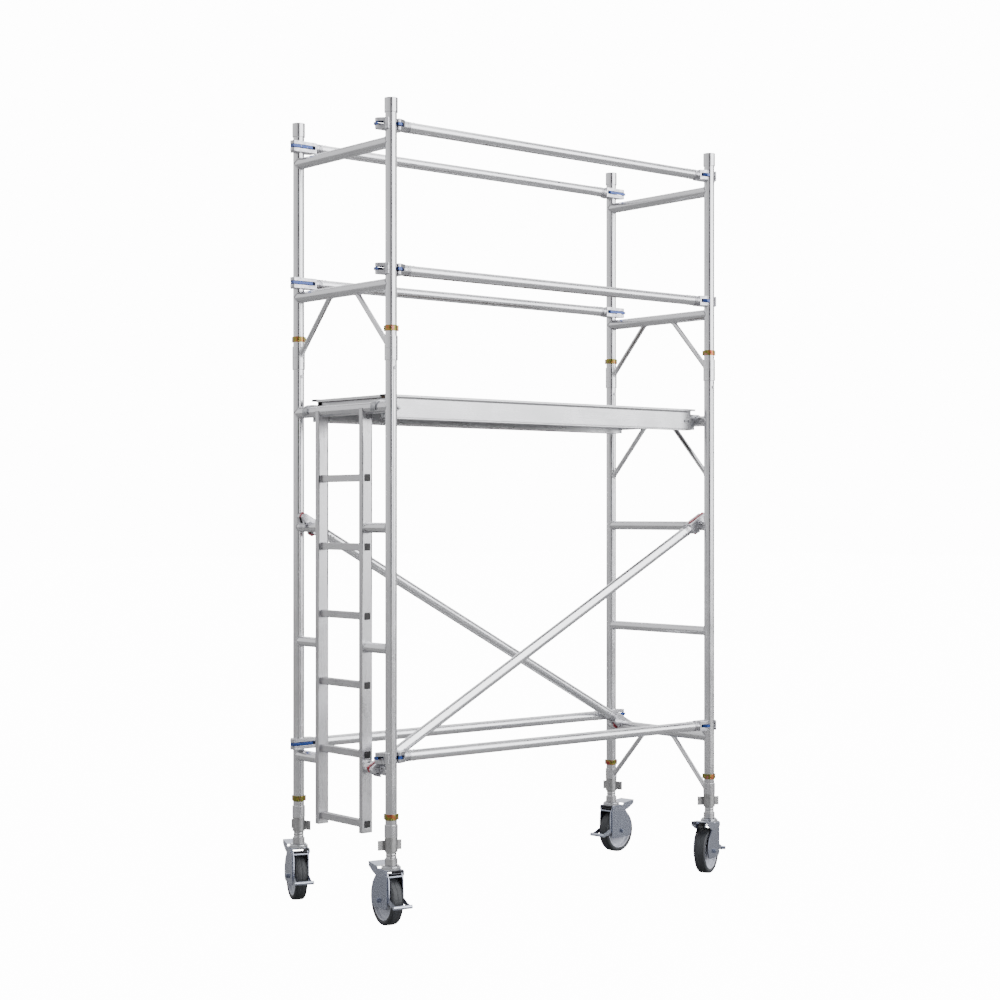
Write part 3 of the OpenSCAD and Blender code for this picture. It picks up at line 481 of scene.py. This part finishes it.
def cast_metal(name, dark, light, roughness=(0.3, 0.5), grain=700.0, depth=0.0002, metallic=1.0):
    """Cast or plated metal: the sandy skin drives tone, gloss and a shallow bump."""
    material, nodes, link, shader = shader_of(name)
    place, skin = nodes.new("ShaderNodeTexCoord"), nodes.new("ShaderNodeGroup")
    skin.node_tree = cast_skin
    skin.inputs["Grain"].default_value = grain
    link(place.outputs["Object"], skin.inputs["Position"])
    tones, gloss, bump = (nodes.new(kind) for kind in ("ShaderNodeValToRGB", "ShaderNodeMapRange", "ShaderNodeBump"))
    tones.color_ramp.elements[0].position = 0.35
    tones.color_ramp.elements[0].color = (*dark, 1)
    tones.color_ramp.elements[1].position = 0.65
    tones.color_ramp.elements[1].color = (*light, 1)
    link(skin.outputs["Tone"], tones.inputs["Fac"])
    link(tones.outputs["Color"], shader.inputs["Base Color"])
    for socket, value in (("From Min", 0.3), ("From Max", 0.7), ("To Min", roughness[1]), ("To Max", roughness[0])):
        gloss.inputs[socket].default_value = value
    link(skin.outputs["Tone"], gloss.inputs["Value"])
    link(gloss.outputs["Result"], shader.inputs["Roughness"])
    bump.inputs["Distance"].default_value = depth
    bump.inputs["Strength"].default_value = 0.4
    link(skin.outputs["Height"], bump.inputs["Height"])
    link(bump.outputs["Normal"], shader.inputs["Normal"])
    shader.inputs["Metallic"].default_value = metallic
    return material


claw_metal = cast_metal("claw_casting", (0.50, 0.50, 0.53), (0.74, 0.74, 0.77), (0.2, 0.36))
finished_piece("rail_claws", "claws", claw_metal, edge=0.0018, rounds=3)
rivet_metal = cast_metal("rivet_heads", (0.55, 0.55, 0.57), (0.74, 0.74, 0.76), (0.22, 0.36), 1200, 0.00005)
finished_piece("claw_rivet_heads", "claw_rivets", rivet_metal, edge=0.0014, rounds=4)

# ---- Triggers ----
# A sheet lever in each claw's slot locks the jaw: blue on the rails, red on the diagonals. The
# paint is glossy, and rubbed through to the steel where a thumb and the tube wear it.


def trigger_paint(name, deep, bright):
    """Gloss paint with small chips, where fine noise passes a threshold and bare steel shows."""
    material, nodes, link, shader = shader_of(name)
    place, skin, chips = nodes.new("ShaderNodeTexCoord"), nodes.new("ShaderNodeGroup"), nodes.new("ShaderNodeTexNoise")
    skin.node_tree = cast_skin
    skin.inputs["Grain"].default_value = 500.0
    chips.inputs["Scale"].default_value, chips.inputs["Detail"].default_value = 160.0, 8.0
    link(place.outputs["Object"], skin.inputs["Position"])
    link(place.outputs["Object"], chips.inputs["Vector"])
    mask, paint, shown, metal, gloss, bump = (
        nodes.new(f"ShaderNode{kind}") for kind in ("MapRange", "Mix", "Mix", "Math", "MapRange", "Bump")
    )
    mask.inputs["From Min"].default_value, mask.inputs["From Max"].default_value = 0.68, 0.70
    link(chips.outputs["Fac"], mask.inputs["Value"])
    paint.data_type = shown.data_type = "RGBA"
    paint.inputs["A"].default_value, paint.inputs["B"].default_value = (*deep, 1), (*bright, 1)
    link(skin.outputs["Tone"], paint.inputs["Factor"])
    link(mask.outputs["Result"], shown.inputs["Factor"])
    link(paint.outputs["Result"], shown.inputs["A"])
    shown.inputs["B"].default_value = (0.5, 0.5, 0.52, 1)
    link(shown.outputs["Result"], shader.inputs["Base Color"])
    metal.operation = "MULTIPLY_ADD"
    metal.inputs[1].default_value, metal.inputs[2].default_value = 0.65, 0.35
    link(mask.outputs["Result"], metal.inputs[0])
    link(metal.outputs["Value"], shader.inputs["Metallic"])
    gloss.inputs["To Min"].default_value, gloss.inputs["To Max"].default_value = 0.2, 0.34
    link(skin.outputs["Tone"], gloss.inputs["Value"])
    link(gloss.outputs["Result"], shader.inputs["Roughness"])
    bump.inputs["Distance"].default_value = 0.0001
    bump.inputs["Strength"].default_value = 0.4
    link(skin.outputs["Height"], bump.inputs["Height"])
    link(bump.outputs["Normal"], shader.inputs["Normal"])
    shader.inputs["Coat Weight"].default_value = 0.6
    return material


blue_paint = trigger_paint("blue_trigger_paint", (0.002, 0.022, 0.16), (0.006, 0.07, 0.36))
red_paint = trigger_paint("red_trigger_paint", (0.18, 0.004, 0.015), (0.42, 0.01, 0.04))
for place in corners:
    for level in ("base", "mid", "top"):
        finished_piece(f"{level}_rail_trigger_{place}", f"{level}_trigger_{place}", blue_paint, edge=0.0012)
    finished_piece(f"diagonal_trigger_{place}", f"brace_trigger_{place}", red_paint, edge=0.0012)

# ---- Interlock clips ----
# Bands of sprung steel that snap round the posts and lock the frames and legs together. Their
# yellow chromate coat shifts from yellow through green to orange and red.
chromate, nodes, link, shader = shader_of("yellow_chromate")
place, hue_noise, tint = (nodes.new(f"ShaderNode{kind}") for kind in ("TexCoord", "TexNoise", "ValToRGB"))
hue_noise.inputs["Scale"].default_value, hue_noise.inputs["Detail"].default_value = 26.0, 3.0
hue_noise.inputs["Roughness"].default_value = 0.65
link(place.outputs["Object"], hue_noise.inputs["Vector"])
stops = (
    (0.32, (0.34, 0.06, 0.06)), (0.42, (0.48, 0.17, 0.07)), (0.49, (0.34, 0.28, 0.06)),
    (0.57, (0.15, 0.19, 0.04)), (0.66, (0.50, 0.19, 0.16)),
)
while len(tint.color_ramp.elements) < len(stops):
    tint.color_ramp.elements.new(0.5)
for element, (position, colour) in zip(tint.color_ramp.elements, stops):
    element.position, element.color = position, (*colour, 1)
link(hue_noise.outputs["Fac"], tint.inputs["Fac"])
link(tint.outputs["Color"], shader.inputs["Base Color"])
sheen_range, skin, bump = nodes.new("ShaderNodeMapRange"), nodes.new("ShaderNodeGroup"), nodes.new("ShaderNodeBump")
sheen_range.inputs["To Min"].default_value, sheen_range.inputs["To Max"].default_value = 0.22, 0.4
link(hue_noise.outputs["Fac"], sheen_range.inputs["Value"])
link(sheen_range.outputs["Result"], shader.inputs["Roughness"])
skin.node_tree = cast_skin
link(place.outputs["Object"], skin.inputs["Position"])
bump.inputs["Distance"].default_value = 0.00006
link(skin.outputs["Height"], bump.inputs["Height"])
link(bump.outputs["Normal"], shader.inputs["Normal"])
shader.inputs["Metallic"].default_value = 1.0
finished_piece("post_interlock_clips", "interlock_clips", chromate, edge=0.0004)

# ---- Platform ----
# Two extruded side beams with square joists welded between them. A lip runs along each beam
# near its top and another near its foot, and the cast hooks at the ends are riveted on.
beam_metal = {
    axis: drawn_metal(f"platform_{axis}", (0.54, 0.54, 0.56), (0.70, 0.705, 0.72), squeeze, 0.3, 0.1)
    for axis, squeeze in drawn_along.items()
}
finished_piece("platform_beams", "deck_beams", beam_metal, edge=0.001)
# The hooks' grey is darker than the casting alone: partly the darker cast metal, partly painted shade for the shading
# at the beam ends.
hook_metal_with_painted_shade = cast_metal("hook_casting", (0.36, 0.37, 0.39), (0.56, 0.57, 0.59), (0.3, 0.45))
finished_piece("platform_hooks", "deck_hooks", hook_metal_with_painted_shade, edge=0.0015, rounds=3)
beam_low, beam_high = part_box("deck_beams")
deck_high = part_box("deck_panel")[1]
deck_z = deck_high.z + 0.002
web_reach = 0.032
inset, top_drop, low_drop = web_reach + 0.004, 0.0085, 0.098
top_lip = [
    (0, -0.010), (0.0040, -0.002), (0.0044, -0.001), (0.0044, 0.004),
    (0.0038, 0.0052), (0, 0.006), (-0.0006, 0.006), (-0.0006, -0.010),
]
low_lip = [
    (0, -0.0025), (0.0012, -0.0016), (0.0016, 0), (0.0012, 0.0016),
    (0, 0.0025), (-0.0006, 0.0025), (-0.0006, -0.0025),
]
lips = []
for y, out in ((beam_low.y, -1), (beam_high.y, 1)):
    for drop, lip in ((top_drop, top_lip), (low_drop, low_lip)):
        z = deck_z - drop
        lips.append(bar_mesh(lip, (beam_low.x + inset, y, z), (beam_high.x - inset, y, z), (0, out, 0), (0, 0, 1)))
bars_piece("beam_lips", lips, beam_metal["x"], "platform")

# ---- Plywood deck and trapdoor ----
# Birch ply with a dark phenolic film pressed with a hexagonal grit pattern. The sawn edges
# show its layers, and the trapdoor is cut from the same board and hinged to the back beam.


def film_faced_ply(name):
    """Dark film with hexagon grit on the faces, and ply layers every 1.5 mm of height on the cut
    edges, which are found where the surface's normal lies flat."""
    material, nodes, link, shader = shader_of(name)
    place, way, split = (nodes.new(f"ShaderNode{kind}") for kind in ("TexCoord", "NewGeometry", "SeparateXYZ"))
    cells, dust, layers = (nodes.new(f"ShaderNodeTex{kind}") for kind in ("Voronoi", "Noise", "Wave"))
    cells.feature = "DISTANCE_TO_EDGE"
    cells.inputs["Scale"].default_value = 130.0
    cells.inputs["Randomness"].default_value = 0.25
    dust.inputs["Scale"].default_value, dust.inputs["Detail"].default_value = 9.0, 8.0
    layers.bands_direction = "Z"
    layers.inputs["Scale"].default_value = 105.0
    layers.inputs["Distortion"].default_value = 0.4
    for texture in (cells, dust, layers):
        link(place.outputs["Object"], texture.inputs["Vector"])
    link(way.outputs["Normal"], split.inputs["Vector"])
    flat, face, film, wood, whole, grit, gloss, bump = (
        nodes.new(f"ShaderNode{kind}")
        for kind in ("Math", "Math", "Mix", "Mix", "Mix", "MapRange", "MapRange", "Bump")
    )
    flat.operation, face.operation = "ABSOLUTE", "GREATER_THAN"
    face.inputs[1].default_value = 0.5
    link(split.outputs["Z"], flat.inputs[0])
    link(flat.outputs["Value"], face.inputs[0])
    for mix, a, b, factor in (
        (film, (0.022, 0.016, 0.012), (0.060, 0.045, 0.035), dust.outputs["Fac"]),
        (wood, (0.16, 0.09, 0.045), (0.36, 0.24, 0.13), layers.outputs["Fac"]),
    ):
        mix.data_type = "RGBA"
        mix.inputs["A"].default_value, mix.inputs["B"].default_value = (*a, 1), (*b, 1)
        link(factor, mix.inputs["Factor"])
    whole.data_type = "RGBA"
    link(face.outputs["Value"], whole.inputs["Factor"])
    link(wood.outputs["Result"], whole.inputs["A"])
    link(film.outputs["Result"], whole.inputs["B"])
    link(whole.outputs["Result"], shader.inputs["Base Color"])
    grit.inputs["From Max"].default_value = 0.12
    link(cells.outputs["Distance"], grit.inputs["Value"])
    gloss.inputs["To Min"].default_value, gloss.inputs["To Max"].default_value = 0.38, 0.62
    link(dust.outputs["Fac"], gloss.inputs["Value"])
    link(gloss.outputs["Result"], shader.inputs["Roughness"])
    bump.inputs["Distance"].default_value = 0.0006
    bump.inputs["Strength"].default_value = 0.8
    link(grit.outputs["Result"], bump.inputs["Height"])
    link(bump.outputs["Normal"], shader.inputs["Normal"])
    return material


deck_ply = film_faced_ply("film_faced_ply")
finished_piece("fixed_deck_panel", "deck_panel", deck_ply, edge=0.0006)
hatch = finished_piece("hinged_trapdoor", "trapdoor", deck_ply, edge=0.0005)
# The hinge's raised faces take the same darkened hook metal, with its painted shade.
hatch.data.materials.append(hook_metal_with_painted_shade)
centres = np.empty(len(hatch.data.polygons) * 3)
hatch.data.polygons.foreach_get("center", centres)
hinge_face = centres.reshape(-1, 3)[:, 2] > deck_high.z + 0.0004
hatch.data.polygons.foreach_set("material_index", hinge_face.astype(np.int32))

# ---- Legs ----
# Each leg is a thick tube with a coarse rounded thread and four long grooves, so that the nut
# can turn on it while the leg cannot turn in the post. A solid base holds the king pin.
leg_metal = drawn_metal("leg_metal", (0.44, 0.44, 0.45), (0.60, 0.60, 0.61), (1, 1, 0.05), 0.36, 0.14)
leg_r, bore_r, pitch, groove_half, groove_depth = 0.0233, 0.0193, 0.012, 0.0035, 0.002
base_r, base_h, king_r = 0.0275, 0.028, 0.0101


def thread_depth(height, turn):
    """Rounded thread: depth is half a cosine of the height less one pitch per turn, flat on the
    crest; the deeper of thread and groove counts, with grooves at 45 degrees and each quarter."""
    wave = 0.5 - 0.5 * np.cos(2 * np.pi * (height / pitch - turn / (2 * np.pi)))
    thread = 0.0013 * np.clip(1.6 * wave - 0.5, 0, 1)
    quarter = turn % (np.pi / 2) - np.pi / 4
    groove = groove_depth * np.clip((groove_half - np.abs(leg_r * quarter)) / 0.0006 + 0.5, 0, 1)
    return np.maximum(thread, groove)


def wrapped_grid(rows, columns):
    """The faces of a grid that closes on itself along both of its directions."""
    i, j = np.meshgrid(np.arange(rows), np.arange(columns), indexing="ij")
    far, near = (i + 1) % rows, (j + 1) % columns
    faces = [i * columns + j, i * columns + near, far * columns + near, far * columns + j]
    return np.stack(faces, axis=-1).reshape(-1, 4)


for place in corners:
    low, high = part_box(f"leg_{place}")
    centre = (np.array(low) + np.array(high)) / 2
    turn = np.linspace(0, 2 * np.pi, 96, endpoint=False)
    foot, base_top = low.z, low.z + base_h
    heights = np.arange(base_top + 0.0012, high.z - 0.001, 0.0015)
    base = np.array([
        (king_r, foot), (base_r - 0.001, foot), (base_r, foot + 0.001),
        (base_r, base_top - 0.002), (base_r - 0.002, base_top), (leg_r + 0.0004, base_top + 0.0002),
    ])
    inside = np.array([
        (leg_r - 0.003, high.z), (bore_r + 0.0005, high.z), (bore_r, high.z - 0.001),
        (bore_r, base_top + 0.0005), (king_r, base_top),
    ])
    threaded = leg_r - thread_depth(heights[:, None], turn[None, :])
    radius = np.concatenate([base[:, :1] + 0 * turn, threaded, inside[:, :1] + 0 * turn])
    level = np.concatenate([base[:, 1], heights, inside[:, 1]])[:, None] + 0 * turn
    skin = [centre[0] + radius * np.cos(turn), centre[1] + radius * np.sin(turn), level]
    points = np.stack(skin, axis=-1).reshape(-1, 3)
    quads = wrapped_grid(len(radius), len(turn))
    thread = mesh_piece(f"threaded_leg_{place}", [(points, quads)], leg_metal, f"leg_{place}")
    thread.data.set_sharp_from_angle(angle=0.7)
    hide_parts(f"leg_{place}")

# ---- Adjusting nuts ----
# A cast sleeve with a thread inside and two flat wings. The foot of each post rests on it, and
# turning it by the wings sets the height of that corner.
nut_metal = cast_metal("nut_casting", (0.36, 0.36, 0.36), (0.48, 0.48, 0.48), (0.3, 0.46), 600)
for place in corners:
    finished_piece(f"winged_nut_{place}", f"adjusting_nut_{place}", nut_metal, edge=0.0015, rounds=3)

# ---- Castors ----
# The fork is pressed from zinc-plated plate, with a raceway on top, an axle bolt, and a brake:
# the pedal cups the fork's top, and its bar in front lets the brake off again.
fork_zinc = cast_metal("zinc_plate", (0.42, 0.45, 0.54), (0.47, 0.50, 0.60), (0.2, 0.3), 1200, 0.00002)
pedal_zinc = cast_metal("pedal_plate", (0.46, 0.49, 0.58), (0.51, 0.54, 0.64), (0.2, 0.3), 1200, 0.00002)
race_steel = cast_metal("raceway_steel", (0.66, 0.67, 0.70), (0.80, 0.81, 0.84), (0.14, 0.24), 1200, 0.00001)
# Near-black zinc for the fork's inner faces, between its side plates and under its top: painted shade for the dark
# inside of the fork.
fork_inside_painted_shade = cast_metal("fork_inside_painted_shade", (0.05, 0.05, 0.055), (0.11, 0.11, 0.12), (0.3, 0.5), 600, 0.00004)
plate_top, plate_inside = 0.2462, 0.0365
for place in corners:
    fork = finished_piece(f"castor_fork_plate_{place}", f"castor_fork_{place}", fork_zinc, edge=0.0009, thin_plate=True)
    fork.data.materials.append(race_steel)
    fork.data.materials.append(fork_inside_painted_shade)
    spin, middles = joints[f"wheel_{place}_spin"], np.empty(len(fork.data.polygons) * 3)
    fork.data.polygons.foreach_get("center", middles)
    middles = middles.reshape(-1, 3)
    # Faces within the fork's inside width and below its top plate get the near-black zinc, which is painted shade.
    beside = np.abs((middles - np.array(spin["pos_m"])) @ np.array(spin["axis"]))
    painted_shade_faces = (beside < plate_inside) & (middles[:, 2] < plate_top - 0.001)
    kinds = np.where(middles[:, 2] > plate_top, 1, np.where(painted_shade_faces, 2, 0))
    fork.data.polygons.foreach_set("material_index", kinds.astype(np.int32))
    finished_piece(f"brake_pedal_plate_{place}", f"brake_pedal_{place}", pedal_zinc, edge=0.0009, thin_plate=True)
    finished_piece(f"brake_release_bar_{place}", f"release_bar_{place}", pedal_zinc, edge=0.0009, thin_plate=True)

# ---- Wheels ----
# A one-piece core of pale moulded polymer with a dished web and a sealed bearing in its hub,
# and a dark rubber tyre bonded round it, with a groove at each shoulder of the tread.
core_plastic = moulded_plastic("core_plastic", (0.50, 0.52, 0.59), (0.58, 0.60, 0.68), 0.34, 700, 0.00008, 0.25)
tyre_rubber = moulded_plastic("tyre_rubber", (0.022, 0.024, 0.028), (0.045, 0.048, 0.054), 0.5, 1500, 0.0001)
core_half = [
    (6.1, 34.6), (12.3, 34.6), (12.9, 33.8), (13.2, 32.4), (17.7, 32.4), (17.9, 34.1), (18.6, 34.7),
    (21.2, 34.4), (22.4, 33.1), (24.4, 18.3), (25.5, 15.8), (28, 14.1), (32.9, 12.9), (48.6, 11.7),
    (63.2, 10.7), (65.9, 10.6), (67, 9.6), (73.9, 9.4), (75, 10.3), (78.2, 11.2), (79.6, 13.4),
    (81.1, 20.1), (82, 23.1), (82.9, 24.2), (84.5, 24.6), (88.1, 24.6), (89, 23.9),
]
tyre_half = [
    (89.05, 22.64), (89.21, 24.83), (90.47, 26.29), (92.67, 27.14), (96.35, 27.87), (100.03, 27.93), (103.18, 27.26),
    (105.8, 25.68), (107.8, 23.12), (108.64, 21.54), (108.43, 20.93), (107.48, 20.57), (107.48, 19.35), (108.85, 18.86),
    (109.27, 18.01), (109.69, 12.17), (109.9, 6.09), (109.95, 0.43), (109.69, 0.12),
]


def turned(profile, centre, axle, steps=144):
    """A closed profile of (radius, offset) points turned about an axle."""
    profile, centre, axle = np.array(profile) / 1000, np.array(centre), np.array(axle) / np.linalg.norm(axle)
    up = np.array([0.0, 0.0, 1.0])
    side = np.cross(up, axle)
    turn = np.linspace(0, 2 * np.pi, steps, endpoint=False)[:, None, None]
    spoke = np.cos(turn) * side + np.sin(turn) * up
    points = centre + profile[None, :, :1] * spoke + profile[None, :, 1:] * axle
    return points.reshape(-1, 3), wrapped_grid(steps, len(profile))


def whole_section(half):
    """Both halves of a section that is the same each side of the wheel's middle."""
    return [*half, *[(r, -y) for r, y in reversed(half)]]


for place in corners:
    spin = joints[f"wheel_{place}_spin"]
    for name, node, half, matter, slot in (
        (f"wheel_disc_{place}", f"wheel_core_{place}", core_half, core_plastic, "wheel_core"),
        (f"rubber_tyre_{place}", f"tyre_{place}", tyre_half, tyre_rubber, "tyre"),
    ):
        section = turned(whole_section(half), spin["pos_m"], spin["axis"])
        piece = mesh_piece(name, [section], matter, f"wheel_{place}")
        piece.data.set_sharp_from_angle(angle=0.75)
        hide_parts(node)

# ---- Studio ----
# A mid grey floor that shows white to the camera only, and a ring of panels, some bright, some
# dim and some nearly black, whose edges draw the grey bands down every tube.
shown_white, floor_half = 14.0, 60
floor_mesh = bpy.data.meshes.new("studio_floor")
floor_corners = [(x * floor_half, y * floor_half, 0) for x, y in ((-1, -1), (1, -1), (1, 1), (-1, 1))]
floor_mesh.from_pydata(floor_corners, [], [(0, 1, 2, 3)])
floor = bpy.data.objects.new("studio_floor", floor_mesh)
bpy.context.scene.collection.objects.link(floor)
paper, nodes, link, shader = shader_of("floor_paper")
shader.inputs["Base Color"].default_value = (0.25, 0.25, 0.25, 1)
shader.inputs["Emission Color"].default_value = (1, 1, 1, 1)
seen, glow = nodes.new("ShaderNodeLightPath"), nodes.new("ShaderNodeMath")
glow.operation = "MULTIPLY"
glow.inputs[1].default_value = shown_white
link(seen.outputs["Is Camera Ray"], glow.inputs[0])
link(glow.outputs["Value"], shader.inputs["Emission Strength"])
shader.inputs["Roughness"].default_value = 0.9
shader.inputs["Specular IOR Level"].default_value = 0.1
floor_mesh.materials.append(paper)

camera = bpy.data.objects.new("camera", bpy.data.cameras.new("camera"))
bpy.context.scene.collection.objects.link(camera)
bpy.context.scene.camera = camera
camera.location = (-5.8643, -6.8563, 1.7604)
camera.rotation_euler = (np.pi / 2, 0, np.radians(-40.057))
camera.data.sensor_width = 36
camera.data.lens = 68.37
camera.data.shift_y = 0.01345
camera.data.clip_end = 200

world = bpy.data.worlds.new("studio_tent")
bpy.context.scene.world = world
world.use_nodes = True
nodes, link = world.node_tree.nodes, world.node_tree.links.new
way, back, right, bearing = (
    nodes.new(f"ShaderNode{kind}") for kind in ("TexCoord", "VectorMath", "VectorMath", "Math")
)
for dot, towards in ((back, (-0.6436, -0.7654, 0)), (right, (0.7654, -0.6436, 0))):
    dot.operation = "DOT_PRODUCT"
    dot.inputs[1].default_value = towards
    link(way.outputs["Generated"], dot.inputs[0])
bearing.operation = "ARCTAN2"
link(right.outputs["Value"], bearing.inputs[0])
link(back.outputs["Value"], bearing.inputs[1])
turned_to, panels = nodes.new("ShaderNodeMapRange"), nodes.new("ShaderNodeValToRGB")
turned_to.inputs["From Min"].default_value, turned_to.inputs["From Max"].default_value = -np.pi, np.pi
link(bearing.outputs["Value"], turned_to.inputs["Value"])
link(turned_to.outputs["Result"], panels.inputs["Fac"])
stops = [
    (-180, 1.5), (-150, 1.4), (-138, 0.25), (-126, 1.1), (-60, 0.95), (-14, 0.75), (-5, 0.05),
    (20, 0.04), (30, 4.2), (90, 4.5), (96, 0.05), (120, 0.05), (130, 1.6), (180, 1.5),
]
while len(panels.color_ramp.elements) < len(stops):
    panels.color_ramp.elements.new(0.5)
for element, (degrees, level) in zip(panels.color_ramp.elements, stops):
    element.position, element.color = (degrees + 180) / 360, (level, level, level * 1.01, 1)
ray, chosen, tent = nodes.new("ShaderNodeLightPath"), nodes.new("ShaderNodeMix"), nodes["Background"]
chosen.data_type = "RGBA"
chosen.clamp_result = False
chosen.inputs["B"].default_value = (shown_white, shown_white, shown_white, 1)
link(ray.outputs["Is Camera Ray"], chosen.inputs["Factor"])
link(panels.outputs["Color"], chosen.inputs["A"])
link(chosen.outputs["Result"], tent.inputs["Color"])
lamp = bpy.data.objects.new("top_panel", bpy.data.lights.new("top_panel", "AREA"))
bpy.context.scene.collection.objects.link(lamp)
lamp.data.size, lamp.data.energy = 6.0, 150
lamp.location = (0, 0, 8)
lamp.rotation_euler = Vector((0, 0, -7)).to_track_quat("-Z", "Y").to_euler()
